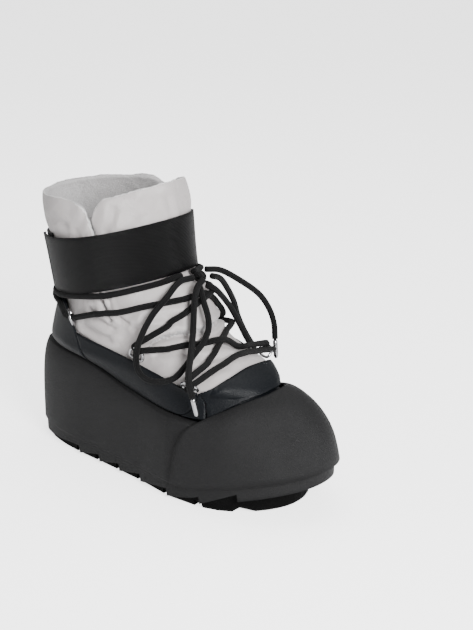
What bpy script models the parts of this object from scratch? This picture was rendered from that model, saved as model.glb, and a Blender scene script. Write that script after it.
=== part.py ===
# Puffer boot for the wearer's right foot, standing empty on its sole.
# X runs from heel to toe, Y to the wearer's left (the inner side), Z up, in metres.
# The camera's side of the boot, the outer side, faces -Y.

import math
from bisect import bisect_right
from collections import namedtuple

import bmesh
import bpy
from mathutils import Vector

# Sizes of the sole
SOLE_LENGTH = 0.290
BALL_WIDTH = 0.119
HEEL_WIDTH = 0.090
HEEL_WALL = 0.090
CORNER_WALL = 0.0685
TOE_WALL = 0.0875
TOE_DOME = 0.050
TOE_SPRING = 0.025
SPRING_START = 0.055
TOOTH_FLOOR = 0.0025
TOOTH_DEPTH = 0.0065
BAND_HEIGHT = 0.0135
BAND_STEP = 0.0022
LEDGE_SPRING = 0.88
SEAT_SPRING = 0.66
SEAT_HEIGHT = 0.0125
CUP_WALL = 0.014
LIP_WIDTH = 0.0030
BED_HEEL = 0.060
BED_TOE = 0.046
OUTSOLE_INSET = 0.0042
OUTSOLE_TOE_INSET = 0.024
OUTSOLE_ROCKER = 0.004
LUG_DEPTH = 0.0035
GROOVE_WIDTH = 0.007
STEP_WIDTH = 0.0006
INSOLE_THICKNESS = 0.005
BUMPER_THICKNESS = 0.0017
BUMPER_GAP = 0.0016

# Sizes of the upper
ANKLE_X = -0.0545
SHAFT_LEAN = 0.014
STRAP_TILT = 0.0245
COLLAR_HEIGHT = 0.221
COLLAR_TILT = 0.020
COLLAR_CREST = 0.0035
COLLAR_LENGTH = 0.127
COLLAR_WIDTH = 0.104
ANKLE_HEIGHT = 0.1435
STRAP_WIDTH = 0.045
STRAP_THICKNESS = 0.0018
STRAP_GAP = 0.0009
FOOT_WALL = 0.003
SHAFT_WALL = 0.006
OVERLAY_THICKNESS = 0.0015
OVERLAY_GAP = 0.0016
OVERLAY_FOOT = 0.0018

# Sizes of the small parts
RING_WIRE = 0.0024
RING_WIDTH = 0.0165
RING_OVERHANG = 25
RING_GAP = 0.0014
RING_SEAT = 0.0008
LACE = 0.005
LACE_LIFT = 0.0038
LACE_STEP = 0.011
KNOT_SIZE = (0.011, 0.0105, 0.009)
AGLET_LENGTH = 0.016
AGLET_WIDTH = 0.0036

# Space left between two parts that touch: flat ones, and curved ones whose facets differ
GAP = 0.0003
SEAT_GAP = 0.0008
CUP_GAP = 0.0015

# The sole's plan: 0 is half the heel's width and 1 half the ball's width
Outline = namedtuple("Outline", "along lateral medial")
OUTLINE = (
    Outline(0.00, 0.00, 0.00),
    Outline(0.28, 0.02, 0.02),
    Outline(0.46, 0.30, 0.12),
    Outline(0.62, 0.88, 0.62),
    Outline(0.74, 1.00, 0.96),
    Outline(1.00, 1.00, 1.02),
)
HEEL_BLUNT = 2.8
TOE_BLUNT = 2.25

# The top edge of the sole's wall: its rise above the corner beside the toes as shares of
# the heel's rise and of the toe's rise, and its distance from the outline as a share of TOE_DOME
Lip = namedtuple("Lip", "along heel toe inset")
LIP = (
    Lip(0.00, 1.00, 0.00, 0.21),
    Lip(0.25, 0.99, 0.00, 0.17),
    Lip(0.34, 0.77, 0.00, 0.15),
    Lip(0.45, 0.37, 0.00, 0.14),
    Lip(0.58, 0.13, 0.00, 0.15),
    Lip(0.67, 0.03, 0.00, 0.17),
    Lip(0.71, 0.00, 0.00, 0.21),
    Lip(0.75, 0.00, 0.38, 0.36),
    Lip(0.84, 0.00, 0.76, 0.54),
    Lip(0.93, 0.00, 0.94, 0.76),
    Lip(1.00, 0.00, 1.00, 1.00),
)
HEEL_ROUND = 3.2
SIDE_ROUND = 4.2
TOE_ROUND = 2.15
WALL_TURN = math.radians(84)
WALL_RISES = (0.0, 0.3, 0.55, 0.75, 0.9, 1.0)

# Where the sole's teeth drop, as shares of its length
TOOTH_DROPS = (0.231, 0.317, 0.403, 0.493, 0.607, 0.717, 0.828)

# Rings of the upper from the sole's lip to the ankle. Rear and front are shares of the sole's
# length; heights are shares of the way from the lip to the ankle; widths are shares of the
# ball's width; crown is how far the ring falls to its sides over the toes
Foot = namedtuple("Foot", "name rear rear_rise front front_rise lateral medial rear_blunt front_blunt crown")
FOOT_RINGS = (
    Foot("cap", 0.064, 0.15, 0.782, 0.095, 0.80, 0.85, 2.4, 2.9, 0.011),
    Foot("vamp", 0.071, 0.31, 0.724, 0.165, 0.79, 0.83, 2.3, 3.1, 0.008),
    Foot("instep", 0.081, 0.51, 0.652, 0.27, 0.78, 0.79, 2.2, 2.7, 0.005),
    Foot("throat", 0.093, 0.70, 0.606, 0.41, 0.78, 0.81, 2.1, 2.3, 0.002),
    Foot("ankle", 0.104, 0.87, 0.584, 0.65, 0.80, 0.83, 2.05, 2.1, 0.0),
)

# Rings of the shaft from the strap's lower edge to the rim. Rises above 1 count from the
# strap's upper edge to the collar's top; length and width are shares of the collar's
Shaft = namedtuple("Shaft", "name rise length width")
SHAFT_RINGS = (
    Shaft("strap_low", 0.0, 0.935, 0.945),
    Shaft("strap_mid", 0.5, 0.945, 0.960),
    Shaft("strap_high", 1.0, 0.965, 0.980),
    Shaft("puff", 1.35, 1.000, 1.015),
    Shaft("rim", 1.85, 1.000, 1.005),
    Shaft("top", 2.0, 0.975, 0.975),
)
CUP_RISES = (0.0, 0.4, 0.75, 1.0)
LEVEL = {"bed": 0, "lip": len(CUP_RISES) - 1}
for number, ring in enumerate(FOOT_RINGS + SHAFT_RINGS, len(CUP_RISES)):
    LEVEL[ring.name] = number
TOP_LEVEL = LEVEL["top"]

# Half angle of the rear panel, from the heel's middle to the notch
NOTCH_ANGLE = 105.5
NOTCH_LEAN = 4.5
PANEL_CORNER = 7.5
TONGUE_FALL = 0.8

# Upper edges of the overlays: angle from the heel in degrees, level on the upper
Edge = namedtuple("Edge", "angle level")
COUNTER_TOP = (Edge(0, 8.75), Edge(44, 8.7), Edge(54, 8.1), Edge(68, 5.95))
SIDE_TOP = (Edge(68, 5.9), Edge(92, 5.62), Edge(107, 5.27), Edge(120, 4.6), Edge(133, 3.95))
TOE_TOP = (Edge(136, 3.95), Edge(150, 4.35), Edge(162, 4.7), Edge(180, 4.9))
COUNTER_END = 68.0
SIDE_END_LOW = 107.0
SIDE_END_HIGH = 134.0
TOE_START_LOW = 116.0
TOE_START_HIGH = 136.0
SEAM_ANGLE = 0.36
SIDE_SWEEP = 1.4
TOE_SWEEP = 2.0
BUMPER_REAR = (Edge(105, 0.0), Edge(107, 0.35), Edge(110, 0.65), Edge(115, 1.0))

# Lace rings on the upper edges of the counter and of the side overlay: angle from the heel, and
# how far the ring tilts outward from the upper, in degrees
Ring = namedtuple("Ring", "angle tilt top")
RINGS = (Ring(63, 38, COUNTER_TOP), Ring(107, 16, SIDE_TOP), Ring(131.5, 20, SIDE_TOP))

# Crossings of the lace over the instep, from ring to ring: angle and level on the upper
LACE_BARS = (
    (Edge(81, 7.7), Edge(104, 8.1), Edge(136, 8.35), Edge(166, 8.4), Edge(190, 8.38), Edge(203, 8.2),
     Edge(214, 7.6), Edge(224, 7.0), Edge(232, 6.6)),
    (Edge(128, 6.65), Edge(138, 7.35), Edge(162, 8.1), Edge(179, 8.25), Edge(200, 8.33), Edge(225, 8.3),
     Edge(256, 8.1), Edge(279, 7.7)),
    (Edge(128, 6.55), Edge(150, 6.8), Edge(175, 6.55), Edge(188, 5.9), Edge(197, 5.45), Edge(211, 4.95)),
    (Edge(149, 5.0), Edge(156, 5.45), Edge(171, 6.0), Edge(184, 6.5), Edge(203, 6.85), Edge(220, 6.8),
     Edge(232, 6.6)),
    (Edge(149, 4.95), Edge(158, 5.3), Edge(174, 5.5), Edge(189, 5.5), Edge(202, 5.3), Edge(211, 5.0)),
)

# The lace round the back of the ankle: its distance below the strap in shares of its width
Wrap = namedtuple("Wrap", "angle drop lift")
LACE_WRAP = (
    Wrap(-72, 1.7, 0.0038),
    Wrap(-60, 1.55, 0.0054),
    Wrap(-40, 1.6, 0.0068),
    Wrap(-18, 1.4, 0.0068),
    Wrap(0, 1.15, 0.0068),
    Wrap(18, 0.9, 0.0068),
    Wrap(40, 0.75, 0.0068),
    Wrap(62, 0.7, 0.0058),
    Wrap(80, 0.7, 0.0044),
    Wrap(97, 0.7, 0.0038),
    Wrap(120, 0.7, 0.0038),
    Wrap(144, 0.7, 0.0038),
    Wrap(160, 0.7, 0.0038),
    Wrap(174, 0.7, 0.0038),
)

# The bow in front of the ankle: hand-laid routes in millimetres
KNOT = (17, 6, 165)
LOOP_1 = (
    (16, -2, 166), (13, -15, 165), (13, -31, 156), (8, -42, 144), (3, -49, 129), (1, -53, 117),
    (2, -55, 108), (7, -57, 101), (16, -57, 97), (27, -55, 98), (35, -49, 101), (38, -41, 107),
    (39, -30, 115), (39, -18, 122), (37, -9, 130), (34, -6, 139), (28, -4, 150), (21, 0, 160),
)
END_1 = (
    (24, 1, 165), (24, -6, 161), (28, -15, 152), (33, -23, 132), (44, -40, 117), (54, -55, 106),
    (57, -54, 92),
)
LOOP_2 = (
    (23, 13, 165), (23, 24, 160), (23, 34, 148), (22, 43, 135), (20, 51, 120), (22, 57, 106),
    (28, 58, 97), (35, 53, 96), (35, 45, 104), (32, 38, 119), (28, 29, 137), (25, 16, 153),
    (21, 9, 158),
)
END_2 = (
    (18, 11.5, 170), (24, 24, 167), (34, 38, 156), (42, 50, 144), (47, 57, 131), (50, 60, 118),
    (52, 59, 105),
)

# Strap: it starts under its own end at the rear and runs forward round the inner side
STRAP_START = 62.0
STRAP_END = -322.0
TAB_LENGTH = 9.0
STRAP_PEEK = 0.0032


def start_scene():
    for item in list(bpy.data.objects):
        bpy.data.objects.remove(item, do_unlink=True)


def mix(low, high, share):
    return low + (high - low) * share


def smooth(rows, column, at):
    # A smooth value of one column of a table, along the table's first column
    places = [row[0] for row in rows]
    values = [getattr(row, column) for row in rows]
    at = min(max(at, places[0]), places[-1])
    k = min(max(bisect_right(places, at) - 1, 0), len(rows) - 2)

    def secant(i):
        return (values[i + 1] - values[i]) / (places[i + 1] - places[i])

    def slope(i):
        if i in (0, len(rows) - 1):
            return secant(min(i, len(rows) - 2))
        before, after = secant(i - 1), secant(i)
        return 2 * before * after / (before + after) if before * after > 0 else 0.0

    span = places[k + 1] - places[k]
    u = (at - places[k]) / span
    rise = values[k + 1] - values[k]
    left, right = slope(k) * span, slope(k + 1) * span
    return values[k] + u * (left + u * (3 * rise - 2 * left - right + u * (left + right - 2 * rise)))


def round_end(cosine, blunt):
    return max(1.0 - abs(cosine) ** blunt, 0.0) ** (1.0 / blunt)


def toward_spine(x, y, distance):
    # Move a point of the plan inward, towards the line between the heel's and the toe's centre
    heel_centre = -SOLE_LENGTH / 2 + HEEL_WIDTH / 2
    toe_centre = SOLE_LENGTH / 2 - BALL_WIDTH * 0.6
    away = Vector((x - min(max(x, heel_centre), toe_centre), y))
    kept = max(away.length - distance, 0.0) / max(away.length, 1e-9)
    return x - away.x * (1 - kept), y - away.y * (1 - kept)


def along_of(angle):
    return (1 - math.cos(angle)) / 2


def sole_plan(angle, inset=0.0):
    along = along_of(angle)
    side = "lateral" if math.sin(angle) > 0 else "medial"
    half = mix(HEEL_WIDTH, BALL_WIDTH, smooth(OUTLINE, side, along)) / 2
    reach = half * round_end(math.cos(angle), mix(HEEL_BLUNT, TOE_BLUNT, along))
    x = -math.cos(angle) * SOLE_LENGTH / 2
    return toward_spine(x, -math.copysign(reach, math.sin(angle)), inset)


def spring(x):
    # Height that the sole's lower edge gains towards the toe
    start = SPRING_START
    return TOE_SPRING * max(x - start, 0.0) / (SOLE_LENGTH / 2 - start)


def tooth_height(x):
    # Ratchet teeth: each rises towards the toe, then drops upright
    along = x / SOLE_LENGTH + 0.5
    edges = (-0.03,) + TOOTH_DROPS
    k = bisect_right(edges, along) - 1
    if k == len(edges) - 1:
        return TOOTH_FLOOR + spring(x)
    share = (along - edges[k]) / (edges[k + 1] - edges[k])
    return TOOTH_FLOOR + TOOTH_DEPTH * share + spring(x)


def ledge_height(x):
    return TOOTH_FLOOR + BAND_HEIGHT + LEDGE_SPRING * spring(x)


def lip_height(along):
    heel = smooth(LIP, "heel", along) * (HEEL_WALL - CORNER_WALL)
    toe = smooth(LIP, "toe", along) * (TOE_WALL - CORNER_WALL)
    return CORNER_WALL + heel + toe


def lip_inset(along):
    return smooth(LIP, "inset", along) * TOE_DOME


def dome(rise, blunt):
    # Shares of the way inward and upward along a rounded wall
    turn = rise ** (blunt / 2) * WALL_TURN
    power = 2.0 / blunt
    inward = (1 - math.cos(turn) ** power) / (1 - math.cos(WALL_TURN) ** power)
    return inward, (math.sin(turn) / math.sin(WALL_TURN)) ** power


def wall_blunt(along):
    heel = min(max(1 - along / 0.25, 0.0), 1.0)
    toe = min(max((along - 0.62) / 0.25, 0.0), 1.0)
    return SIDE_ROUND + (HEEL_ROUND - SIDE_ROUND) * heel + (TOE_ROUND - SIDE_ROUND) * toe


def wall_point(angle, rise):
    # The outer surface of the sole's wall, from the ledge (0) to the lip (1)
    along = along_of(angle)
    inward, upward = dome(rise, wall_blunt(along))
    x, y = sole_plan(angle, lip_inset(along) * inward)
    low = ledge_height(sole_plan(angle)[0])
    return Vector((x, y, mix(low, lip_height(along), upward)))


def bed_height(x):
    return mix(BED_HEEL, BED_TOE, x / SOLE_LENGTH + 0.5)


def cup_point(angle, rise):
    # The upper's outer surface inside the sole's cup
    along = along_of(angle)
    inward, upward = dome(rise, max(wall_blunt(along) * 0.6, TOE_ROUND))
    x, y = sole_plan(angle, mix(CUP_WALL, lip_inset(along) + LIP_WIDTH, inward))
    return Vector((x, y, mix(bed_height(x) + GAP, lip_height(along), upward)))


def foot_point(angle, ring):
    along = along_of(angle)
    rear, front = (share * SOLE_LENGTH - SOLE_LENGTH / 2 for share in (ring.rear, ring.front))
    rear_z = mix(HEEL_WALL, ANKLE_HEIGHT, ring.rear_rise)
    front_z = mix(TOE_WALL, ANKLE_HEIGHT + STRAP_TILT, ring.front_rise)
    half = BALL_WIDTH / 2 * (ring.lateral if math.sin(angle) > 0 else ring.medial)
    reach = round_end(math.cos(angle), mix(ring.rear_blunt, ring.front_blunt, along))
    z = mix(rear_z, front_z, along) - ring.crown * reach ** 2 * along ** 4
    return Vector((mix(rear, front, along), -math.copysign(half * reach, math.sin(angle)), z))


def shaft_point(angle, ring):
    along = along_of(angle)
    low = ANKLE_HEIGHT + STRAP_TILT * along ** 1.5
    high = low + STRAP_WIDTH
    top = COLLAR_HEIGHT + COLLAR_TILT * along ** 3 + COLLAR_CREST * math.sin(angle) ** 2
    z = mix(low, high, ring.rise) if ring.rise <= 1 else mix(high, top, ring.rise - 1)
    x = ANKLE_X - SHAFT_LEAN * ring.rise / 2 - math.cos(angle) * ring.length * COLLAR_LENGTH / 2
    return Vector((x, -math.sin(angle) * ring.width * COLLAR_WIDTH / 2, z))


def ring_point(angle, number):
    number = min(max(number, 0), TOP_LEVEL)
    if number < len(CUP_RISES):
        return cup_point(angle, CUP_RISES[number])
    number -= len(CUP_RISES)
    if number < len(FOOT_RINGS):
        return foot_point(angle, FOOT_RINGS[number])
    return shaft_point(angle, SHAFT_RINGS[number - len(FOOT_RINGS)])


def upper_point(angle, level):
    # The upper's outer surface: angle in radians from the heel, level along its rings
    k = min(int(level), TOP_LEVEL - 1)
    u = level - k
    before, low, high, after = (ring_point(angle, k + step) for step in (-1, 0, 1, 2))
    if k == 0:
        before = low * 2 - high
    if k == TOP_LEVEL - 1:
        after = high * 2 - low
    return low + u * 0.5 * ((high - before) + u * ((2 * before - 5 * low + 4 * high - after)
                            + u * (3 * low - before - 3 * high + after)))


def surface_frame(surface, angle, level, top):
    # Point, direction round the boot, direction upward and outward normal of a surface
    turn, step = 0.004, 0.02
    point = surface(angle, level)
    around = surface(angle + turn, level) - surface(angle - turn, level)
    upward = surface(angle, min(level + step, top)) - surface(angle, max(level - step, 0.0))
    normal = around.cross(upward).normalized()
    around.normalize()
    return point, around, normal.cross(around), normal


def upper_offset(angle, level, distance):
    point, _, _, normal = surface_frame(upper_point, angle, level, TOP_LEVEL)
    return point + normal * distance


def wall_offset(angle, rise, distance):
    point, _, _, normal = surface_frame(wall_point, angle, rise, 1.0)
    return point + normal * distance


def material(name, color, roughness, metallic=0.0):
    item = bpy.data.materials.new(name)
    item.use_nodes = True
    shader = item.node_tree.nodes["Principled BSDF"]
    shader.inputs["Base Color"].default_value = (*color, 1.0)
    shader.inputs["Roughness"].default_value = roughness
    shader.inputs["Metallic"].default_value = metallic
    return item


def add_mesh(name, points, faces, look):
    mesh = bpy.data.meshes.new(name)
    bm = bmesh.new()
    verts = [bm.verts.new(point) for point in points]
    for face in faces:
        bm.faces.new([verts[i] for i in face])
    bmesh.ops.recalc_face_normals(bm, faces=bm.faces)
    bm.to_mesh(mesh)
    bm.free()
    mesh.shade_smooth()
    mesh.set_sharp_from_angle(angle=math.radians(40))
    mesh.materials.append(material(name, *look))
    item = bpy.data.objects.new(name, mesh)
    bpy.context.collection.objects.link(item)
    return item


def loft(name, rings, look):
    # Closed rings of points joined in order; both ends are closed by strips across the shoe
    count = len(rings[0])
    faces = []
    for k in range(len(rings) - 1):
        for i in range(count):
            j = (i + 1) % count
            faces.append((k * count + i, k * count + j, (k + 1) * count + j, (k + 1) * count + i))
    for start in (0, (len(rings) - 1) * count):
        for i in range(count // 2):
            strip = [start + n % count for n in (i, i + 1, -i - 1, -i)]
            faces.append(tuple(dict.fromkeys(strip)))
    return add_mesh(name, [point for ring in rings for point in ring], faces, look)


def shell(name, outer, inner, present, closed, look):
    # A walled sheet: two grids of points, one face for each cell that is present on both,
    # and a wall wherever a present cell has no neighbour
    rows, columns = len(outer), len(outer[0])
    points = [point for grid in (outer, inner) for row in grid for point in row]
    size = rows * columns
    wrap = columns if closed else columns - 1

    def corner(r, c):
        return r * columns + c % columns

    faces, edges = [], {}
    for r in range(rows - 1):
        for c in range(wrap):
            if not present(r, c):
                continue
            cell = (corner(r, c), corner(r, c + 1), corner(r + 1, c + 1), corner(r + 1, c))
            faces.append(cell)
            faces.append(tuple(size + n for n in reversed(cell)))
            for a, b in zip(cell, cell[1:] + cell[:1]):
                edges[(a, b)] = True
    for a, b in edges:
        if (b, a) not in edges:
            faces.append((b, a, size + a, size + b))
    used = sorted({n for face in faces for n in face})
    place = {n: k for k, n in enumerate(used)}
    faces = [tuple(place[n] for n in face) for face in faces]
    return add_mesh(name, [points[n] for n in used], faces, look)


def patch(name, offset_point, corner, low, high, columns, rows, look):
    # A plate on a curved surface: corner(a, b) gives its angle and level, low and high its
    # distances from the surface at a
    outer = []
    inner = []
    for r in range(rows + 1):
        places = [corner(c / columns, r / rows) for c in range(columns + 1)]
        outer.append([offset_point(angle, level, high(c / columns)) for c, (angle, level) in enumerate(places)])
        inner.append([offset_point(angle, level, low(c / columns)) for c, (angle, level) in enumerate(places)])
    return shell(name, outer, inner, lambda r, c: True, False, look)


def constant(value):
    return lambda share: value


# Looks: colour, roughness, metallic
SATIN = ((0.45, 0.42, 0.41), 0.45)
FLEECE = ((0.30, 0.29, 0.29), 0.9)
LEATHER = ((0.030, 0.034, 0.042), 0.5)
FOAM = ((0.040, 0.040, 0.042), 0.7)
RUBBER = ((0.012, 0.012, 0.013), 0.8)
WEBBING = ((0.010, 0.010, 0.011), 0.4)
LACING = ((0.012, 0.012, 0.013), 0.7)
METAL = ((0.75, 0.75, 0.76), 0.25, 1.0)


def angles_with_steps(count, places):
    # Angles round the sole: a close pair at each place along its length and even ones between,
    # the same on both sides so that strips can cross the shoe
    stops = [0.0]
    for share in places:
        middle = math.acos(1 - 2 * share)
        width = STEP_WIDTH / (SOLE_LENGTH * math.sin(middle))
        stops += [middle - width, middle + width]
    stops += [math.acos(-2 * SPRING_START / SOLE_LENGTH), math.pi]
    stops.sort()
    half = []
    for low, high in zip(stops, stops[1:]):
        parts = max(math.ceil((high - low) / math.pi * count - 0.3), 1)
        half += [mix(low, high, k / parts) for k in range(parts)]
    return half + [math.pi] + [2 * math.pi - a for a in reversed(half[1:])]


def outsole_inset(along):
    toe = max((along - 0.72) / 0.28, 0.0)
    return mix(OUTSOLE_INSET, OUTSOLE_TOE_INSET, toe ** 1.5)


def seat_ring(angles, extra, height):
    ring = []
    for angle in angles:
        x, y = sole_plan(angle, outsole_inset(along_of(angle)) + extra)
        ring.append(Vector((x, y, height(x))))
    return ring


def seat_height(x):
    return SEAT_HEIGHT + SEAT_SPRING * spring(x)


def lug_height(x):
    # The outsole's underside: flat lugs between cross grooves, and a rocker at the toe
    rocker = OUTSOLE_ROCKER * max((x / SOLE_LENGTH - 0.24) / 0.18, 0.0) ** 2
    for share in TOOTH_DROPS:
        drop = (share - 0.5) * SOLE_LENGTH
        if drop - GROOVE_WIDTH < x < drop:
            return LUG_DEPTH + rocker
    return rocker


def build_outsole():
    groove = GROOVE_WIDTH / SOLE_LENGTH
    edges = sorted(list(TOOTH_DROPS) + [share - groove for share in TOOTH_DROPS])
    angles = angles_with_steps(22, edges)
    top = seat_ring(angles, 0.0, lambda x: seat_height(x) - GAP)
    shoulder = seat_ring(angles, 0.0, lambda x: lug_height(x) + 0.002)
    bottom = seat_ring(angles, 0.0012, lug_height)
    loft("outsole", [bottom, shoulder, top], RUBBER)


def build_midsole():
    angles = angles_with_steps(22, TOOTH_DROPS)
    rings = [seat_ring(angles, -SEAT_GAP, seat_height)]
    rings.append(seat_ring(angles, -SEAT_GAP, tooth_height))
    for inset, height in ((1.0, tooth_height), (0.9, lambda x: ledge_height(x) - 0.0012)):
        ring = []
        for angle in angles:
            step = BAND_STEP * mix(1.0, 0.35, min(max(along_of(angle) / 0.15, 0.0), 1.0))
            ring.append(Vector((*sole_plan(angle, step * inset), height(sole_plan(angle)[0]))))
        rings.append(ring)
    for rise in WALL_RISES:
        rings.append([wall_point(angle, rise) for angle in angles])
    rim = []
    for angle in angles:
        along = along_of(angle)
        rim.append(Vector((*sole_plan(angle, lip_inset(along) + LIP_WIDTH * 0.4), lip_height(along))))
    rings.append(rim)
    for level in (2.0, 1.0):
        rings.append([upper_offset(angle, level, CUP_GAP) for angle in angles])
    floor = []
    for angle in angles:
        point = upper_offset(angle, 0.0, CUP_GAP)
        point.z = bed_height(point.x)
        floor.append(point)
    rings.append(floor)
    loft("midsole", rings, FOAM)


def build_insole():
    angles = [2 * math.pi * k / 36 for k in range(36)]
    rings = []
    for height, inset in ((GAP, 0.0), (INSOLE_THICKNESS, 0.0012)):
        ring = []
        for angle in angles:
            x, y = sole_plan(angle, CUP_WALL + FOOT_WALL + 2 * SEAT_GAP + inset)
            ring.append(Vector((x, y, bed_height(x) + GAP + height)))
        rings.append(ring)
    loft("insole", rings, FLEECE)


def bumper_corner(a, b):
    rear = math.radians(smooth([Edge(row.level, row.angle) for row in BUMPER_REAR], "level", b))
    rise = WALL_RISES[round(b * (len(WALL_RISES) - 1))]
    return mix(rear, 2 * math.pi - rear, a), min(max(rise, 0.015), 0.992)


def build_bumper():
    patch("toe_bumper", wall_offset, bumper_corner, constant(BUMPER_GAP), constant(BUMPER_GAP + BUMPER_THICKNESS),
          22, len(WALL_RISES) - 1, FOAM)


def notch_half_angle(level):
    # The rear panel's edge leans back above the strap
    share = min(max((level - LEVEL["strap_high"]) / (TOP_LEVEL - LEVEL["strap_high"]), 0.0), 1.0)
    return NOTCH_ANGLE - NOTCH_LEAN * share


def corner_drop(distance):
    # Levels that a panel's top edge loses near its rounded corner, at a distance in degrees
    short = max(1 - distance / PANEL_CORNER, 0.0)
    return 1.3 * (1 - math.sqrt(max(1 - short ** 2, 0.0)))


SHAFT_ROWS = (0.0, 0.2, 0.4, 0.56, 0.74, 0.9, 1.0)
SPLIT_LEVEL = LEVEL["strap_low"] + 0.05


def wall_thickness(level):
    share = min(max((level - LEVEL["lip"]) / (LEVEL["ankle"] - LEVEL["lip"]), 0.0), 1.0)
    return mix(FOOT_WALL, SHAFT_WALL, share)


def build_upper():
    rear_columns, front_columns = 20, 16
    foot_levels = (0.0, 1.0, 2.0, 3.0, 3.5, 4.0, 4.5, 5.0, 5.5, 6.0, 6.5, 7.0, 7.5, 8.0, 8.6, SPLIT_LEVEL)
    outer, inner = [], []
    for row in range(len(foot_levels) + len(SHAFT_ROWS) - 1):
        outer_row, inner_row = [], []
        for column in range(rear_columns + front_columns):
            if column <= rear_columns:
                turn = 2 * column / rear_columns - 1
                half = NOTCH_ANGLE
            else:
                turn = None
            if row < len(foot_levels):
                level = foot_levels[row]
            else:
                share = SHAFT_ROWS[row - len(foot_levels) + 1]
                edge = NOTCH_ANGLE * (1 - abs(turn)) if turn is not None else PANEL_CORNER
                level = mix(SPLIT_LEVEL, TOP_LEVEL - corner_drop(edge), share)
                half = notch_half_angle(level)
            if turn is not None:
                angle = turn * half
            else:
                angle = mix(NOTCH_ANGLE, 360 - NOTCH_ANGLE, (column - rear_columns) / front_columns)
            angle = math.radians(angle)
            outer_row.append(upper_offset(angle, level, 0.0))
            inner_row.append(upper_offset(angle, level, -wall_thickness(level)))
        if row == 0:
            for point in outer_row + inner_row:
                point.z = bed_height(point.x) + GAP
        outer.append(outer_row)
        inner.append(inner_row)

    def present(row, column):
        return row < len(foot_levels) - 1 or column < rear_columns

    shell("upper", outer, inner, present, True, SATIN)


def build_tongue():
    columns = 16
    outer, inner = [], []
    margin = math.degrees(GAP / (COLLAR_WIDTH / 2))
    for share in SHAFT_ROWS:
        outer_row, inner_row = [], []
        for column in range(columns + 1):
            across = column / columns
            side = abs(2 * across - 1)
            drop = corner_drop((180 - NOTCH_ANGLE) * (1 - side)) + TONGUE_FALL * side ** 2
            level = mix(SPLIT_LEVEL + 0.02, TOP_LEVEL - drop, share)
            start = NOTCH_ANGLE + margin
            angle = math.radians(mix(start, 360 - start, across))
            outer_row.append(upper_offset(angle, level, 0.0))
            inner_row.append(upper_offset(angle, level, -wall_thickness(level)))
        outer.append(outer_row)
        inner.append(inner_row)
    shell("tongue", outer, inner, lambda r, c: True, False, SATIN)


# A seam at an overlay's end: its angles at the lower and upper edge, and how late it leans over
Seam = namedtuple("Seam", "low high sweep")


def seam_angle(seam, b):
    return mix(seam.low, seam.high, b ** seam.sweep)


# How much closer together an overlay's rows lie near the lip, where the upper turns most
ROW_CROWDING = 1.4


def lip_level(angle):
    # The level on the upper where an overlay clears the sole's lip
    floor = lip_height(along_of(angle)) + OVERLAY_FOOT
    level = LEVEL["lip"] + 0.06
    while upper_offset(angle, level, OVERLAY_GAP).z < floor:
        level += 0.02
    return level


def overlay(name, start, end, top, columns, rows, side=1):
    # An overlay between the sole's lip and its own upper edge
    def corner(a, b):
        high_angle = mix(start.high, end.high, a)
        high_level = smooth(top, "level", high_angle if high_angle <= 180 else 360 - high_angle)
        angle = math.radians(mix(seam_angle(start, b), seam_angle(end, b), a)) * side
        return angle, mix(lip_level(angle), high_level, b ** ROW_CROWDING)

    patch(name, upper_offset, corner, constant(OVERLAY_GAP), constant(OVERLAY_GAP + OVERLAY_THICKNESS),
          columns, rows, LEATHER)


def build_overlays():
    counter = tuple(Edge(-row.angle, row.level) for row in reversed(COUNTER_TOP[1:])) + COUNTER_TOP
    overlay("heel_counter", Seam(-COUNTER_END, -COUNTER_END, 1), Seam(COUNTER_END, COUNTER_END, 1),
            counter, 22, 7)
    side_start = Seam(COUNTER_END + SEAM_ANGLE, COUNTER_END + SEAM_ANGLE, 1)
    side_end = Seam(SIDE_END_LOW, SIDE_END_HIGH, SIDE_SWEEP)
    patch_start = Seam(SIDE_END_LOW + SEAM_ANGLE, SIDE_END_HIGH + SEAM_ANGLE, SIDE_SWEEP)
    patch_end = Seam(TOE_START_LOW - SEAM_ANGLE, TOE_START_HIGH - SEAM_ANGLE, TOE_SWEEP)
    patch_top = (Edge(SIDE_END_HIGH, SIDE_TOP[-1].level), Edge(TOE_START_HIGH, TOE_TOP[0].level))
    for side, word in ((1, "lateral"), (-1, "medial")):
        overlay(f"side_overlay_{word}", side_start, side_end, SIDE_TOP, 12, 4, side)
        overlay(f"notch_patch_{word}", patch_start, patch_end, patch_top, 2, 4, side)
    toe_start = Seam(TOE_START_LOW, TOE_START_HIGH, TOE_SWEEP)
    toe_end = Seam(360 - TOE_START_LOW, 360 - TOE_START_HIGH, TOE_SWEEP)
    overlay("toe_overlay", toe_start, toe_end, TOE_TOP, 18, 4)


def strap_place(turn, b):
    # The strap's lower layer stands a little higher than its outer layer
    start = min(max((STRAP_START - turn) / 60.0, 0.0), 1.0)
    peek = STRAP_PEEK / STRAP_WIDTH * 2 * (1 - start)
    low = LEVEL["strap_low"] + 0.02 + peek
    return math.radians(turn), mix(low, LEVEL["strap_high"] + peek, b)


def strap_lift(turn):
    # The outer layer climbs onto the lower one near the strap's end
    share = min(max((turn - STRAP_END - 110.0) / -55.0, 0.0), 1.0)
    return STRAP_GAP + (STRAP_THICKNESS + STRAP_GAP) * share * share * (3 - 2 * share)


def build_strap():
    tab_start = STRAP_END + TAB_LENGTH

    def strap_corner(a, b):
        return strap_place(mix(STRAP_START, tab_start + SEAM_ANGLE, a), b)

    def strap_low(a):
        return strap_lift(mix(STRAP_START, tab_start, a))

    patch("ankle_strap", upper_offset, strap_corner, strap_low,
          lambda a: strap_low(a) + STRAP_THICKNESS, 46, 3, WEBBING)
    patch("ankle_strap_tab", upper_offset, lambda a, b: strap_place(mix(tab_start, STRAP_END, a), b),
          lambda a: strap_lift(STRAP_END), lambda a: strap_lift(STRAP_END) + STRAP_THICKNESS * 1.2,
          2, 3, LEATHER)


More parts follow.
